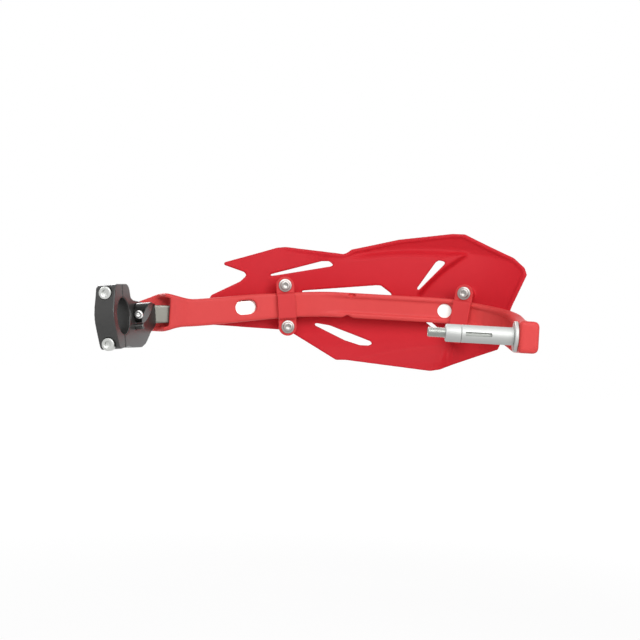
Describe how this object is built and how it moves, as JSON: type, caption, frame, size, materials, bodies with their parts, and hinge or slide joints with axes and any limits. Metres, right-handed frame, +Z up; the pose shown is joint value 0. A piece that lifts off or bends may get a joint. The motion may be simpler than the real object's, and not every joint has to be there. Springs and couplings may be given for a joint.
{
  "type": "motorcycle hand guard",
  "caption": "Full wrap motorcycle hand guard with a covered bar, vented shield, bar end expander plug and a swivelling handlebar clamp.",
  "frame": {"origin": "centre of the plug's washer face that the handlebar's end butts against", "axes": "X along the handlebar with outboard positive, +Y forward away from the rider, +Z up"},
  "size_m": [0.3495, 0.1574, 0.1204],
  "materials": {
    "red_plastic": "satin moulded red",
    "bare_aluminium": "bare, fine drawn grain",
    "zinc_steel": "bright zinc",
    "black_anodised": "black anodised, semi-gloss",
    "grey_steel": "dark grey"
  },
  "bodies": {
    "guard": {"bar_cover": "red_plastic", "bar_core": "bare_aluminium", "shield": "red_plastic", "bracket_inner": "red_plastic", "bracket_outer": "red_plastic", "screw_inner_upper": "zinc_steel", "screw_inner_lower": "zinc_steel", "screw_outer_upper": "zinc_steel", "screw_outer_lower": "zinc_steel", "plug_washer": "zinc_steel", "plug_sleeve": "zinc_steel", "plug_wedge": "zinc_steel", "plug_bolt": "zinc_steel", "plug_bolt_washer": "zinc_steel", "knuckle": "black_anodised", "knuckle_screw": "zinc_steel", "pivot_bolt": "zinc_steel", "pivot_washer": "zinc_steel"},
    "clamp": {"clamp_body": "black_anodised", "clamp_cap": "black_anodised", "clamp_bolt_upper": "zinc_steel", "clamp_bolt_lower": "zinc_steel", "stop_pin": "grey_steel"}
  },
  "joints": [
    {"name": "clamp_swivel", "type": "hinge", "parent": "guard", "child": "clamp", "pos_m": [-0.29811, 0.02999, 0.00116], "axis": [0.9709, -0.2064, 0.1219], "range_deg": [-30, 30]}
  ]
}
